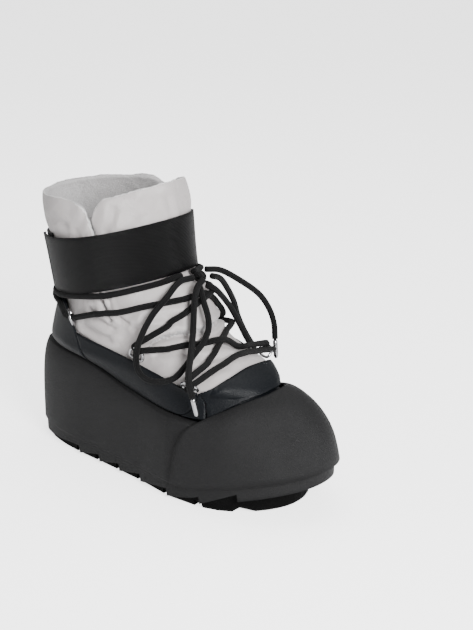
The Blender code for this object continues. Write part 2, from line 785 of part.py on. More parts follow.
def catmull_rom(points, spacing):
    # Evenly spaced points on a smooth curve through the given ones
    points = [Vector(point) for point in points]
    points = [points[0] * 2 - points[1]] + points + [points[-1] * 2 - points[-2]]
    dense = [points[1]]
    steps = 12
    for before, low, high, after in zip(points, points[1:], points[2:], points[3:]):
        for k in range(1, steps + 1):
            u = k / steps
            dense.append(low + u * 0.5 * ((high - before) + u * ((2 * before - 5 * low + 4 * high - after)
                                          + u * (3 * low - before - 3 * high + after))))
    reached = [0.0]
    for a, b in zip(dense, dense[1:]):
        reached.append(reached[-1] + (b - a).length)
    count = max(round(reached[-1] / spacing), 2)
    route = []
    for k in range(count + 1):
        at = reached[-1] * k / count
        i = min(bisect_right(reached, at), len(reached) - 1)
        span = reached[i] - reached[i - 1]
        route.append(dense[i - 1].lerp(dense[i], min((at - reached[i - 1]) / span, 1.0)))
    return route


def tube(name, route, width, look, closed=False):
    # A round bar along a route, with six sides
    sides = 6
    count = len(route)
    rings = []
    side_way = None
    for k, point in enumerate(route):
        before = route[k - 1] if k or closed else point
        after = route[(k + 1) % count] if k < count - 1 or closed else point
        along = (after - before).normalized()
        if side_way is None:
            side_way = along.orthogonal()
        side_way = (side_way - along * side_way.dot(along)).normalized()
        other = along.cross(side_way)
        turns = [2 * math.pi * i / sides for i in range(sides)]
        rings.append([point + (side_way * math.cos(t) + other * math.sin(t)) * width / 2 for t in turns])
    faces = []
    for k in range(count if closed else count - 1):
        low, high = k * sides, (k + 1) % count * sides
        for i in range(sides):
            j = (i + 1) % sides
            faces.append((low + i, low + j, high + j, high + i))
    if not closed:
        faces.append(tuple(range(sides)))
        faces.append(tuple((count - 1) * sides + i for i in range(sides)))
    return add_mesh(name, [point for ring in rings for point in ring], faces, look)


def join_all(pieces):
    # The first piece takes the others in; those stay as hidden guides
    for piece in pieces[1:]:
        union = pieces[0].modifiers.new(piece.name, "BOOLEAN")
        union.operation = "UNION"
        union.solver = "EXACT"
        union.object = piece
        piece.hide_render = True
        piece.display_type = "WIRE"


def build_ring(name, ring, side):
    # A D-shaped ring whose straight side lies along an overlay's upper edge
    def edge(angle):
        return surface_frame(upper_point, math.radians(angle) * side, smooth(ring.top, "level", angle), TOP_LEVEL)

    middle, _, _, normal = edge(ring.angle)
    along = (edge(ring.angle + 1)[0] - edge(ring.angle - 1)[0]).normalized()
    away = normal.cross(along)
    if away.z < 0:
        away.negate()
    tilt = math.radians(ring.tilt)
    rise = away * math.cos(tilt) + normal * math.sin(tilt)
    radius = (RING_WIDTH - RING_WIRE) / 2
    overhang = math.radians(RING_OVERHANG)
    seat = normal * (RING_WIRE / 2 + RING_SEAT) + away * (RING_WIRE / 2 + RING_GAP)
    centre = middle + seat + rise * radius * math.sin(overhang)
    steps = 8
    route = []
    for k in range(steps + 1):
        turn = mix(-overhang, math.pi + overhang, k / steps)
        route.append(centre + along * radius * math.cos(turn) + rise * radius * math.sin(turn))
    tube(name, route, RING_WIRE, METAL, closed=True)


def build_rings():
    for side, word in ((1, "lateral"), (-1, "medial")):
        for number, ring in enumerate(RINGS, 1):
            build_ring(f"ring_{word}_{number}", ring, side)


def build_lace_bars():
    bars = []
    for number, rows in enumerate(LACE_BARS, 1):
        points = [upper_offset(math.radians(row.angle), row.level, LACE_LIFT) for row in rows]
        name = "lace_bars" if number == 1 else f"lace_bar_guide_{number}"
        bars.append(tube(name, catmull_rom(points, LACE_STEP), LACE, LACING))
    join_all(bars)


def wrap_point(angle, row):
    # A point at a distance below the strap's lower edge
    low = upper_point(angle, LEVEL["ankle"])
    high = upper_point(angle, LEVEL["strap_low"])
    level = LEVEL["strap_low"] - row.drop * LACE / (high - low).length
    return upper_offset(angle, level, row.lift)


def build_lace_wrap():
    runs = []
    for side, name in ((1, "lace_wrap"), (-1, "lace_wrap_guide")):
        points = [wrap_point(math.radians(row.angle) * side, row) for row in LACE_WRAP]
        runs.append(tube(name, catmull_rom(points, LACE_STEP), LACE, LACING))
    join_all(runs)


def metres(point):
    return Vector(point) / 1000


def build_cord(name, points):
    curve = bpy.data.curves.new(name, "CURVE")
    curve.dimensions = "3D"
    curve.bevel_depth = LACE / 2
    curve.bevel_resolution = 2
    curve.use_fill_caps = True
    route = catmull_rom([metres(point) for point in points], LACE * 2.5)
    spline = curve.splines.new("POLY")
    spline.points.add(len(route) - 1)
    for spot, point in zip(spline.points, route):
        spot.co = (*point, 1.0)
    curve.materials.append(material(name, *LACING))
    item = bpy.data.objects.new(name, curve)
    bpy.context.collection.objects.link(item)
    return route


def build_aglet(name, route):
    # A metal tip that goes on where the lace ends
    way = (route[-1] - route[-2]).normalized()
    start = route[-1] + way * GAP
    tube(name, [start, start + way * AGLET_LENGTH], AGLET_WIDTH, METAL)


def build_bow():
    bm = bmesh.new()
    bmesh.ops.create_uvsphere(bm, u_segments=10, v_segments=6, radius=0.5)
    bmesh.ops.scale(bm, vec=KNOT_SIZE, verts=bm.verts)
    bmesh.ops.translate(bm, vec=metres(KNOT), verts=bm.verts)
    mesh = bpy.data.meshes.new("lace_knot")
    bm.to_mesh(mesh)
    bm.free()
    mesh.shade_smooth()
    mesh.materials.append(material("lace_knot", *LACING))
    knot = bpy.data.objects.new("lace_knot", mesh)
    bpy.context.collection.objects.link(knot)
    build_cord("lace_loop_1", LOOP_1)
    build_cord("lace_loop_2", LOOP_2)
    build_aglet("aglet_1", build_cord("lace_end_1", END_1))
    build_aglet("aglet_2", build_cord("lace_end_2", END_2))


def main():
    start_scene()
    build_outsole()
    build_midsole()
    build_insole()
    build_bumper()
    build_upper()
    build_tongue()
    build_overlays()
    build_strap()
    build_rings()
    build_lace_bars()
    build_lace_wrap()
    build_bow()


main()
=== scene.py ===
# The looks of a padded satin boot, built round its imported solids.
# X runs from heel to toe, Y to the inner side, Z up, in metres; routes are in millimetres.

import math
from collections import namedtuple

import bmesh
import bpy
import numpy as np
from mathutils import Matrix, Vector, kdtree, noise
from mathutils.bvhtree import BVHTree


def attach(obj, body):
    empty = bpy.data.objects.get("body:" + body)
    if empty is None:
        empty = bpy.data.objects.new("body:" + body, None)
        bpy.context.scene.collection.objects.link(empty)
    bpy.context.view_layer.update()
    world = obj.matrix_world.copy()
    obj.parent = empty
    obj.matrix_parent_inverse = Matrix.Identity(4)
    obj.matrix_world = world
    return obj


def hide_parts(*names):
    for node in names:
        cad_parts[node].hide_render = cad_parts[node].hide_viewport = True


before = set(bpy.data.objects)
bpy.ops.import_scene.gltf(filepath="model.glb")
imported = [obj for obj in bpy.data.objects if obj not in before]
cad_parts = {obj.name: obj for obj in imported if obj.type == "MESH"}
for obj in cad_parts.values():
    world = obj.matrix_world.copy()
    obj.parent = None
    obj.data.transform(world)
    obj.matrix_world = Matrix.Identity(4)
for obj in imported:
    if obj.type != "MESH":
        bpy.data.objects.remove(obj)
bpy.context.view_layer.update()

# Camera
# A long lens in front of the boot's outer side, a little above it.
VIEW_TURN = math.radians(37.5)
VIEW_RISE = math.radians(19.6)
VIEW_DISTANCE = 1.05
VIEW_AIM = Vector((0.033, 0.032, 0.129))
LENS_LENGTH = 74.57
view_back = Vector((math.sin(VIEW_TURN) * math.cos(VIEW_RISE),
                    -math.cos(VIEW_TURN) * math.cos(VIEW_RISE), math.sin(VIEW_RISE)))
lens = bpy.data.cameras.new("camera")
lens.lens = LENS_LENGTH
camera = bpy.data.objects.new("camera", lens)
bpy.context.scene.collection.objects.link(camera)
camera.location = VIEW_AIM + view_back * VIEW_DISTANCE
camera.rotation_mode = "QUATERNION"
camera.rotation_quaternion = (-view_back).to_track_quat("-Z", "Y")
bpy.context.scene.camera = camera

# Bow
# Two loops and two ends of a round braided lace, tied in front of the ankle. They are free cords
# and lie where their solids do; a metal tip closes each end.
LACE = 0.005
KNOT = (17, 6, 165)
LOOP_1 = (
    (16, -2, 166), (13, -15, 165), (13, -31, 156), (8, -42, 144), (3, -49, 129), (1, -53, 117),
    (2, -55, 108), (7, -57, 101), (16, -57, 97), (27, -55, 98), (35, -49, 101), (38, -41, 107),
    (39, -30, 115), (39, -18, 122), (37, -9, 130), (34, -6, 139), (28, -4, 150), (21, 0, 160),
)
END_1 = (
    (24, 1, 165), (24, -6, 161), (28, -15, 152), (33, -23, 132), (44, -40, 117), (54, -55, 106),
    (57, -54, 92),
)
LOOP_2 = (
    (23, 13, 165), (23, 24, 160), (23, 34, 148), (22, 43, 135), (20, 51, 120), (22, 57, 106),
    (28, 58, 97), (35, 53, 96), (35, 45, 104), (32, 38, 119), (28, 29, 137), (25, 16, 153),
    (21, 9, 158),
)
END_2 = (
    (18, 11.5, 170), (24, 24, 167), (34, 38, 156), (42, 50, 144), (47, 57, 131), (50, 60, 118),
    (52, 59, 105),
)
LOOP_1_LENGTH = 0.215
LOOP_2_LENGTH = 0.176
END_1_LENGTH = 0.105
END_2_LENGTH = 0.096
TIP_LENGTH = 0.016
TIP_WIDTH = 0.0040
ROUTE_STEP = 0.002
WELD = 0.00002


def metres(point):
    return Vector(point[:3]) / 1000


def smooth_route(points, step):
    # Evenly spaced points on a smooth curve through the given ones
    ends = [points[0] * 2 - points[1]] + list(points) + [points[-1] * 2 - points[-2]]
    dense = [ends[1]]
    for before, low, high, after in zip(ends, ends[1:], ends[2:], ends[3:]):
        for k in range(1, 13):
            u = k / 12
            pull = (2 * before - 5 * low + 4 * high - after) + u * (3 * low - before - 3 * high + after)
            dense.append(low + u * 0.5 * ((high - before) + u * pull))
    reached = np.cumsum([0.0] + [(b - a).length for a, b in zip(dense, dense[1:])])
    count = max(round(reached[-1] / step), 2)
    at = np.linspace(0.0, reached[-1], count + 1)
    table = np.array(dense)
    return [Vector(p) for p in np.stack([np.interp(at, reached, table[:, k]) for k in range(3)], axis=1)]


def node_group(name, inputs, outputs):
    group = bpy.data.node_groups.new(name, "ShaderNodeTree")
    for label, kind, value in inputs:
        group.interface.new_socket(label, in_out="INPUT", socket_type=kind).default_value = value
    for label, kind in outputs:
        group.interface.new_socket(label, in_out="OUTPUT", socket_type=kind)
    return group, group.nodes.new("NodeGroupInput"), group.nodes.new("NodeGroupOutput")


def math_node(tree, operation, a, b=None, c=None):
    node = tree.nodes.new("ShaderNodeMath")
    node.operation = operation
    for socket, value in zip(node.inputs, (a, b, c)):
        if isinstance(value, bpy.types.NodeSocket):
            tree.links.new(value, socket)
        elif value is not None:
            socket.default_value = value
    return node.outputs[0]


def new_look(name, roughness, metallic=0.0, sheen=0.0, coat=0.0, specular=0.5):
    item = bpy.data.materials.new(name)
    item.use_nodes = True
    shader = item.node_tree.nodes["Principled BSDF"]
    shader.inputs["Roughness"].default_value = roughness
    shader.inputs["Metallic"].default_value = metallic
    shader.inputs["Sheen Weight"].default_value = sheen
    shader.inputs["Coat Weight"].default_value = coat
    shader.inputs["Specular IOR Level"].default_value = specular
    return item, item.node_tree, shader


def tint(tree, shader, dark, light, mask):
    # The base colour runs from a dark to a light tone with a mask
    blend = tree.nodes.new("ShaderNodeMix")
    blend.data_type = "RGBA"
    blend.inputs["A"].default_value = (*dark, 1.0)
    blend.inputs["B"].default_value = (*light, 1.0)
    tree.links.new(mask, blend.inputs["Factor"])
    tree.links.new(blend.outputs["Result"], shader.inputs["Base Color"])


def relief(tree, shader, height, depth):
    bump = tree.nodes.new("ShaderNodeBump")
    bump.inputs["Distance"].default_value = depth
    tree.links.new(height, bump.inputs["Height"])
    tree.links.new(bump.outputs["Normal"], shader.inputs["Normal"])


# Braid: strands that cross in two directions round a lace, from its own map in metres
braid, braid_in, braid_out = node_group(
    "braid", [("UV", "NodeSocketVector", (0, 0, 0)), ("Pitch", "NodeSocketFloat", 0.0022)],
    [("Height", "NodeSocketFloat")])
parts = braid.nodes.new("ShaderNodeSeparateXYZ")
braid.links.new(braid_in.outputs["UV"], parts.inputs[0])
along = math_node(braid, "DIVIDE", parts.outputs["X"], braid_in.outputs["Pitch"])
around = math_node(braid, "MULTIPLY", parts.outputs["Y"], 5.0)
leaning = []
for direction in ("ADD", "SUBTRACT"):
    turns = math_node(braid, direction, along, around)
    leaning.append(math_node(braid, "SINE", math_node(braid, "MULTIPLY", turns, 2 * math.pi)))
crossed = math_node(braid, "MULTIPLY_ADD", math_node(braid, "MULTIPLY", *leaning), 0.5, 0.5)
braid.links.new(crossed, braid_out.inputs["Height"])

lace_look, tree, shader = new_look("lace_braid", 0.62, sheen=0.02, specular=0.12)
lace_map = tree.nodes.new("ShaderNodeUVMap")
strands = tree.nodes.new("ShaderNodeGroup")
strands.node_tree = braid
tree.links.new(lace_map.outputs[0], strands.inputs["UV"])
tint(tree, shader, (0.0006, 0.0006, 0.0007), (0.0050, 0.0050, 0.0053), strands.outputs["Height"])
relief(tree, shader, strands.outputs["Height"], 0.0006)


def round_bar(name, route, width, look, taper=0):
    # A round bar along a route; its map runs in metres along it and once round it
    curve = bpy.data.curves.new(name, "CURVE")
    curve.dimensions = "3D"
    curve.bevel_depth = width / 2
    curve.bevel_resolution = 4
    curve.use_fill_caps = True
    spline = curve.splines.new("POLY")
    spline.points.add(len(route) - 1)
    for spot, point in zip(spline.points, route):
        spot.co = (*point, 1.0)
    for k in range(taper):
        spline.points[-1 - k].radius = spline.points[k].radius = math.sin(math.pi / 2 * (k + 0.7) / taper)
    guide = bpy.data.objects.new(name + "_guide", curve)
    bpy.context.scene.collection.objects.link(guide)
    mesh = bpy.data.meshes.new_from_object(guide.evaluated_get(bpy.context.evaluated_depsgraph_get()))
    bpy.data.objects.remove(guide)
    reach = sum((b - a).length for a, b in zip(route, route[1:]))
    if mesh.uv_layers:
        for spot in mesh.uv_layers[0].uv:
            spot.vector.x *= reach
    bm = bmesh.new()
    bm.from_mesh(mesh)
    bmesh.ops.remove_doubles(bm, verts=bm.verts, dist=WELD)
    bmesh.ops.recalc_face_normals(bm, faces=bm.faces)
    bm.to_mesh(mesh)
    bm.free()
    mesh.name = name
    mesh.materials.clear()
    mesh.materials.append(look)
    mesh.shade_smooth()
    bar = bpy.data.objects.new(name, mesh)
    bpy.context.scene.collection.objects.link(bar)
    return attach(bar, "root")


metal_look, tree, shader = new_look("nickel", 0.2, metallic=1.0)
place = tree.nodes.new("ShaderNodeTexCoord")
scuffs = tree.nodes.new("ShaderNodeTexNoise")
scuffs.inputs["Scale"].default_value = 900
tree.links.new(place.outputs["Object"], scuffs.inputs["Vector"])
tint(tree, shader, (0.30, 0.30, 0.31), (0.55, 0.55, 0.56), scuffs.outputs[0])
relief(tree, shader, scuffs.outputs[0], 0.00004)

for name, node, points, length in (("bow_loop_1", "lace_loop_1", LOOP_1, LOOP_1_LENGTH),
                                   ("bow_loop_2", "lace_loop_2", LOOP_2, LOOP_2_LENGTH)):
    route = smooth_route([metres(p) for p in points], ROUTE_STEP)
    loop = round_bar(name, route, LACE, lace_look)
    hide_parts(node)
for number, points, length in ((1, END_1, END_1_LENGTH), (2, END_2, END_2_LENGTH)):
    route = smooth_route([metres(p) for p in points], ROUTE_STEP)
    end = round_bar(f"bow_end_{number}", route, LACE, lace_look)
    way = (route[-1] - route[-2]).normalized()
    tip_route = [route[-1] + way * (0.0002 + TIP_LENGTH * k / 8) for k in range(9)]
    tip = round_bar(f"bow_tip_{number}", tip_route, TIP_WIDTH, metal_look, taper=2)
    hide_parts(f"lace_end_{number}")
    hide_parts(f"aglet_{number}")

# Knot
# The same braided lace, wound nearly twice round the bow's middle and pulled tight. It holds the
# loops and the ends together just in front of the strap.
KNOT_TURNS = 1.8
KNOT_RADIUS = 0.0031
KNOT_WIDTH = 0.0056
KNOT_POINTS = 45
knot_route = []
for k in range(KNOT_POINTS):
    share = k / (KNOT_POINTS - 1)
    turn = 2 * math.pi * KNOT_TURNS * share
    knot_route.append(metres(KNOT) + Vector((KNOT_RADIUS * math.cos(turn), (share - 0.5) * KNOT_WIDTH,
                                             KNOT_RADIUS * 0.8 * math.sin(turn))))
knot = round_bar("bow_knot", knot_route, LACE * 0.95, lace_look, taper=3)
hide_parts("lace_knot")

# Upper
# Padded satin over a fleece lining, sewn as one shell: it puffs between its seams, its collar
# is cut into a rear and a front panel, and the lining rolls over the edge as a rim with painted light on
# it: a paler copy of the fleece.
SHAFT_X = -0.061
STRAP_TOP = 0.196
SLIT = ((-43, -48, 158), (-40, -48, 150), (-36, -47, 142), (-31, -47, 134))
SLIT_EDGE = ((-37, -47, 157), (-33, -47, 150), (-30, -47, 142))
DART = ((-27, -46, 140), (-21, -45, 135), (-15, -44, 133))
VAMP_SEAM = ((-4, -46, 113), (3, -40, 118), (9, -35, 122), (18, -27, 125), (25, -17, 125), (29, -3, 125),
             (28, 11, 125), (22, 24, 125), (12, 35, 122), (3, 41, 118))
FRONT_CREASES = (
    ((-2, -37, 137), (8, -31, 139), (17, -22, 138)),
    ((-8, -42, 129), (3, -38, 131), (12, -30, 133)),
    ((40, -22, 109), (46, -12, 109), (50, 2, 108)),
    ((-50, -47, 136), (-40, -48, 131), (-30, -47, 126)),
    ((-62, -45, 122), (-48, -47, 118), (-34, -47, 117)),
    ((10, -36, 112), (20, -31, 111), (30, -26, 109)),
)
SHAFT_CREASES = (
    ((-98, -40, 203), (-85, -49, 206), (-72, -52, 204)),
    ((-60, -53, 203), (-54, -52, 210), (-51, -51, 218)),
    ((-34, -46, 205), (-29, -45, 214), (-28, -44, 222)),
    ((-12, -31, 212), (-8, -29, 219), (-9, -30, 226)),
    ((2, -8, 212), (1, -8, 220), (-2, -8, 228)),
)

satin, satin_in, satin_out = node_group(
    "satin", [("Vector", "NodeSocketVector", (0, 0, 0)), ("Thread", "NodeSocketFloat", 1300.0)],
    [("Height", "NodeSocketFloat"), ("Tone", "NodeSocketFloat")])
threads = satin.nodes.new("ShaderNodeTexWave")
threads.bands_direction = "DIAGONAL"
satin.links.new(satin_in.outputs["Vector"], threads.inputs["Vector"])
satin.links.new(satin_in.outputs["Thread"], threads.inputs["Scale"])
ripples = satin.nodes.new("ShaderNodeTexNoise")
ripples.inputs["Scale"].default_value = 85
ripples.inputs["Detail"].default_value = 3
ripples.inputs["Distortion"].default_value = 0.8
satin.links.new(satin_in.outputs["Vector"], ripples.inputs["Vector"])
heights = math_node(satin, "MULTIPLY_ADD", threads.outputs[1], 0.04, ripples.outputs[0])
satin.links.new(heights, satin_out.inputs["Height"])
satin.links.new(ripples.outputs[0], satin_out.inputs["Tone"])

satin_look, tree, shader = new_look("satin", 0.36, sheen=0.2)
place = tree.nodes.new("ShaderNodeTexCoord")
cloth = tree.nodes.new("ShaderNodeGroup")
cloth.node_tree = satin
tree.links.new(place.outputs["Object"], cloth.inputs["Vector"])
tint(tree, shader, (0.36, 0.335, 0.33), (0.47, 0.44, 0.435), cloth.outputs["Tone"])
relief(tree, shader, cloth.outputs["Height"], 0.0012)

pile, pile_in, pile_out = node_group(
    "pile", [("Vector", "NodeSocketVector", (0, 0, 0)), ("Tufts", "NodeSocketFloat", 900.0)],
    [("Height", "NodeSocketFloat")])
curls = pile.nodes.new("ShaderNodeTexNoise")
curls.inputs["Detail"].default_value = 6
curls.inputs["Roughness"].default_value = 0.7
pile.links.new(pile_in.outputs["Vector"], curls.inputs["Vector"])
pile.links.new(pile_in.outputs["Tufts"], curls.inputs["Scale"])
pile.links.new(curls.outputs[0], pile_out.inputs["Height"])


def pile_look(name, dark, light):
    item, tree, shader = new_look(name, 0.95, sheen=0.5)
    place = tree.nodes.new("ShaderNodeTexCoord")
    tufts = tree.nodes.new("ShaderNodeGroup")
    tufts.node_tree = pile
    tree.links.new(place.outputs["Object"], tufts.inputs["Vector"])
    tint(tree, shader, dark, light, tufts.outputs["Height"])
    relief(tree, shader, tufts.outputs["Height"], 0.003)
    return item


fleece_look = pile_look("fleece", (0.24, 0.23, 0.23), (0.72, 0.70, 0.70))
# The rim's fleece: the same pile painted paler, as painted light where the lining rolls over the collar
lit_rim_look = pile_look("fleece_painted_rim", (0.50, 0.49, 0.48), (0.95, 0.94, 0.93))


def grow(node, name, levels, sharp):
    # A smooth copy of a node's solid: its facets joined, its sharp edges kept
    bm = bmesh.new()
    bm.from_mesh(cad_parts[node].data)
    bmesh.ops.remove_doubles(bm, verts=bm.verts, dist=WELD)
    bmesh.ops.join_triangles(bm, faces=bm.faces, angle_face_threshold=math.radians(50),
                             angle_shape_threshold=math.radians(70))
    crease = bm.edges.layers.float.new("crease_edge")
    for edge in bm.edges:
        if edge.is_manifold and edge.calc_face_angle() > math.radians(sharp):
            edge[crease] = 1.0
    mesh = bpy.data.meshes.new(name)
    bm.to_mesh(mesh)
    bm.free()
    piece = bpy.data.objects.new(name, mesh)
    bpy.context.scene.collection.objects.link(piece)
    rounding = piece.modifiers.new("rounding", "SUBSURF")
    rounding.levels = rounding.render_levels = levels
    piece.data = bpy.data.meshes.new_from_object(piece.evaluated_get(bpy.context.evaluated_depsgraph_get()))
    piece.modifiers.clear()
    piece.data.shade_smooth()
    piece.data.materials.clear()
    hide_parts(node)
    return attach(piece, "root")


def read_points(mesh):
    points = np.empty(len(mesh.vertices) * 3)
    normals = np.empty(len(mesh.vertices) * 3)
    mesh.vertices.foreach_get("co", points)
    mesh.vertex_normals.foreach_get("vector", normals)
    return points.reshape(-1, 3), normals.reshape(-1, 3)


def write_points(mesh, points):
    mesh.vertices.foreach_set("co", points.ravel())
    mesh.update()


def press(piece, line, depth, width, puff=0.0):
    # A soft trough along a line on a surface, with the padding raised on both sides of it
    points, normals = read_points(piece.data)
    route = np.array(smooth_route([metres(p) for p in line], ROUTE_STEP))
    near = np.min(np.linalg.norm(points[:, None, :] - route[None, :, :], axis=2), axis=1)
    raised = puff * np.exp(-((near - 2.2 * width) / (1.3 * width)) ** 2)
    sunk = depth * np.exp(-(near / width) ** 2)
    write_points(piece.data, points + normals * (raised - sunk)[:, None])


def ruffle(piece, size, depth, seed=0.0):
    # Soft unevenness of the padding
    points, normals = read_points(piece.data)
    lift = np.array([noise.noise(Vector(p) / size + Vector((seed, 0, 0))) for p in points])
    write_points(piece.data, points + normals * (lift * depth)[:, None])


# Places of the looks on the upper and the front panel
# The lining, the collar's rim with its painted light (a paler fleece), and the leather lip
LINING, LIT_RIM, LIP = 1, 2, 3


def line_with(piece, outer, lining, edge):
    # Lining on the faces that look inward, and a paler copy of the fleece where it rolls over the collar's
    # edge: painted light on the rim
    for look in (outer, lining, edge):
        piece.data.materials.append(look)
    fluff = set()
    for face in piece.data.polygons:
        middle = face.center
        spine = Vector((min(max(middle.x, -0.08), 0.07), 0, 0.09))
        if middle.z > 0.13:
            spine = Vector((SHAFT_X, 0, middle.z))
        out = (middle - spine).normalized()
        facing = face.normal.dot(out)
        if facing < 0.0:
            face.material_index = LINING
        # Faces round the collar above the strap get the paler fleece: painted light on the rim
        elif facing < 0.8 and middle.z > STRAP_TOP:
            face.material_index = LIT_RIM
        if face.material_index:
            fluff.update(face.vertices)
    points, normals = read_points(piece.data)
    for k in fluff:
        spot = Vector(points[k])
        tuft = noise.noise(spot / 0.0024) * 0.0006 + noise.noise(spot / 0.009) * 0.0007
        points[k] += normals[k] * tuft
    write_points(piece.data, points)


grain, grain_in, grain_out = node_group(
    "grain", [("Vector", "NodeSocketVector", (0, 0, 0)), ("Size", "NodeSocketFloat", 1800.0)],
    [("Height", "NodeSocketFloat"), ("Tone", "NodeSocketFloat")])
pores = grain.nodes.new("ShaderNodeTexVoronoi")
grain.links.new(grain_in.outputs["Vector"], pores.inputs["Vector"])
grain.links.new(grain_in.outputs["Size"], pores.inputs["Scale"])
clouds = grain.nodes.new("ShaderNodeTexNoise")
clouds.inputs["Scale"].default_value = 30
clouds.inputs["Detail"].default_value = 5
grain.links.new(grain_in.outputs["Vector"], clouds.inputs["Vector"])
grain.links.new(pores.outputs["Distance"], grain_out.inputs["Height"])
grain.links.new(clouds.outputs[0], grain_out.inputs["Tone"])


def grained_look(name, dark, light, roughness, size, depth, specular=0.14):
    item, tree, shader = new_look(name, roughness, specular=specular)
    place = tree.nodes.new("ShaderNodeTexCoord")
    skin = tree.nodes.new("ShaderNodeGroup")
    skin.node_tree = grain
    skin.inputs["Size"].default_value = size
    tree.links.new(place.outputs["Object"], skin.inputs["Vector"])
    tint(tree, shader, dark, light, skin.outputs["Tone"])
    relief(tree, shader, skin.outputs["Height"], depth)
    return item


leather_look = grained_look("coated_leather", (0.0026, 0.0034, 0.0046), (0.0042, 0.0052, 0.0068),
                            0.44, 1100, 0.0002)
upper = grow("upper", "satin_upper", 3, 180)
tongue = grow("tongue", "front_panel", 3, 180)
ruffle(upper, 0.026, 0.0016)
ruffle(tongue, 0.022, 0.0014, 5.0)
press(upper, SLIT, 0.0036, 0.0020, 0.0014)
press(upper, SLIT_EDGE, 0.0020, 0.0014, 0.0007)
press(upper, DART, 0.0022, 0.0016, 0.0009)
press(upper, VAMP_SEAM, 0.0034, 0.0022, 0.0020)
for crease_line in FRONT_CREASES:
    press(upper, crease_line, 0.0017, 0.0030, 0.0011)
for crease_line in SHAFT_CREASES:
    press(upper, crease_line, 0.0012, 0.0032, 0.0006)
    press(tongue, crease_line, 0.0012, 0.0032, 0.0006)
line_with(upper, satin_look, fleece_look, lit_rim_look)
upper.data.materials.append(leather_look)
line_with(tongue, satin_look, fleece_look, lit_rim_look)

# Insole
# A soft foam bed covered with the same fleece as the lining; it lies loose in the bottom of the
# upper, and gives a little under the foot.
insole = grow("insole", "fleece_bed", 2, 50)
insole.data.materials.append(fleece_look)

# Sole
# A thick cup of moulded foam with a ratchet-edged band, a raised toe bumper and a black rubber
# bottom cemented under it.
foam_look = grained_look("moulded_foam", (0.0085, 0.0085, 0.0088), (0.0130, 0.0130, 0.0134),
                         0.48, 1500, 0.0004)
rubber_look = grained_look("black_rubber", (0.0008, 0.0008, 0.0008), (0.0018, 0.0018, 0.0018),
                           0.6, 900, 0.0003, 0.06)
midsole = grow("midsole", "cup_sole", 2, 28)
midsole.data.materials.append(foam_look)
bumper = grow("toe_bumper", "bumper", 2, 60)
bumper.data.materials.append(foam_look)
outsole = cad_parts["outsole"]
outsole.data.materials.clear()
outsole.data.materials.append(rubber_look)

# Overlays
# Smooth coated leather round the heel, along the sides and over the toes, sewn to the satin;
# the toe piece has a double row of stitches along its top edge.
OVERLAYS = ("heel_counter", "side_overlay_lateral", "side_overlay_medial", "notch_patch_lateral",
            "notch_patch_medial", "toe_overlay")
LIP_REACH = 0.0075
overlays = {}
for node in OVERLAYS:
    label = node.replace("overlay", "leather").replace("counter", "leather")
    overlays[node] = grow(node, label, 2, 50)
    overlays[node].data.materials.append(leather_look)


def surface_tree(mesh):
    return BVHTree.FromPolygons([v.co for v in mesh.vertices], [list(f.vertices) for f in mesh.polygons])


# The upper's own edge below the overlays, down in the sole's cup, is faced with the same leather
sole_tree = surface_tree(midsole.data)
for face in upper.data.polygons:
    if face.material_index == 0 and sole_tree.find_nearest(face.center)[3] < LIP_REACH:
        face.material_index = LIP

# Ankle strap
# A wide band of twill webbing, pulled round the ankle over the satin. A leather tab is sewn over
# its end on the outer side, at the back.
TWILL = 0.0011
WRAP_RADIUS = 0.055
webbing_look, tree, shader = new_look("twill_webbing", 0.34, specular=0.14)
strap_map = tree.nodes.new("ShaderNodeUVMap")
flat = tree.nodes.new("ShaderNodeSeparateXYZ")
tree.links.new(strap_map.outputs[0], flat.inputs[0])
slant = math_node(tree, "ADD", flat.outputs["X"], math_node(tree, "MULTIPLY", flat.outputs["Y"], 0.8))
ribs = math_node(tree, "SINE", math_node(tree, "MULTIPLY", slant, 2 * math.pi / TWILL))
cords = math_node(tree, "SINE", math_node(tree, "MULTIPLY", flat.outputs["Y"], 2 * math.pi / TWILL))
weave = math_node(tree, "MULTIPLY_ADD", math_node(tree, "ADD", ribs, cords), 0.25, 0.5)
tint(tree, shader, (0.0006, 0.0006, 0.0007), (0.0028, 0.0028, 0.0030), weave)
relief(tree, shader, weave, 0.0005)


def wrap_map(piece):
    # A map in metres: round the ankle and up
    layer = piece.data.uv_layers.new(name="UVMap")
    for face in piece.data.polygons:
        corners = [piece.data.vertices[v].co for v in face.vertices]
        turns = [math.atan2(co.y, co.x - SHAFT_X) for co in corners]
        if max(turns) - min(turns) > math.pi:
            turns = [t + 2 * math.pi if t < 0 else t for t in turns]
        for loop, co, turn in zip(face.loop_indices, corners, turns):
            layer.uv[loop].vector = (turn * WRAP_RADIUS, co.z)


strap = grow("ankle_strap", "webbing_strap", 2, 50)
wrap_map(strap)
strap.data.materials.append(webbing_look)
tab = grow("ankle_strap_tab", "strap_tab", 3, 60)
tab.data.materials.append(leather_look)

# Lace rings
# Three rings of bent nickel wire on each side for the lace, each held by its foot under the upper
# edge of an overlay.
WIRE_SWELL = 0.0002
Ring = namedtuple("Ring", "node top foot")
RINGS = {
    "L1": Ring("ring_lateral_1", (-71.1, -52.3, 129.6), (-75.8, -44.8, 124.9)),
    "L2": Ring("ring_lateral_2", (-2.6, -48.4, 116.5), (-4.8, -47.7, 106.8)),
    "L3": Ring("ring_lateral_3", (50.4, -50.5, 100.8), (47.2, -44.5, 93.5)),
    "M1": Ring("ring_medial_1", (-71.3, 54.5, 128.4), (-75.8, 46.4, 124.5)),
    "M2": Ring("ring_medial_2", (-2.6, 47.2, 116.7), (-4.8, 48.8, 107.0)),
    "M3": Ring("ring_medial_3", (50.7, 53.7, 100.1), (47.2, 47.2, 93.2)),
}
for ring in RINGS.values():
    wire = grow(ring.node, ring.node.replace("ring", "wire_ring"), 2, 180)
    points, normals = read_points(wire.data)
    write_points(wire.data, points + normals * WIRE_SWELL)
    wire.data.materials.append(metal_look)

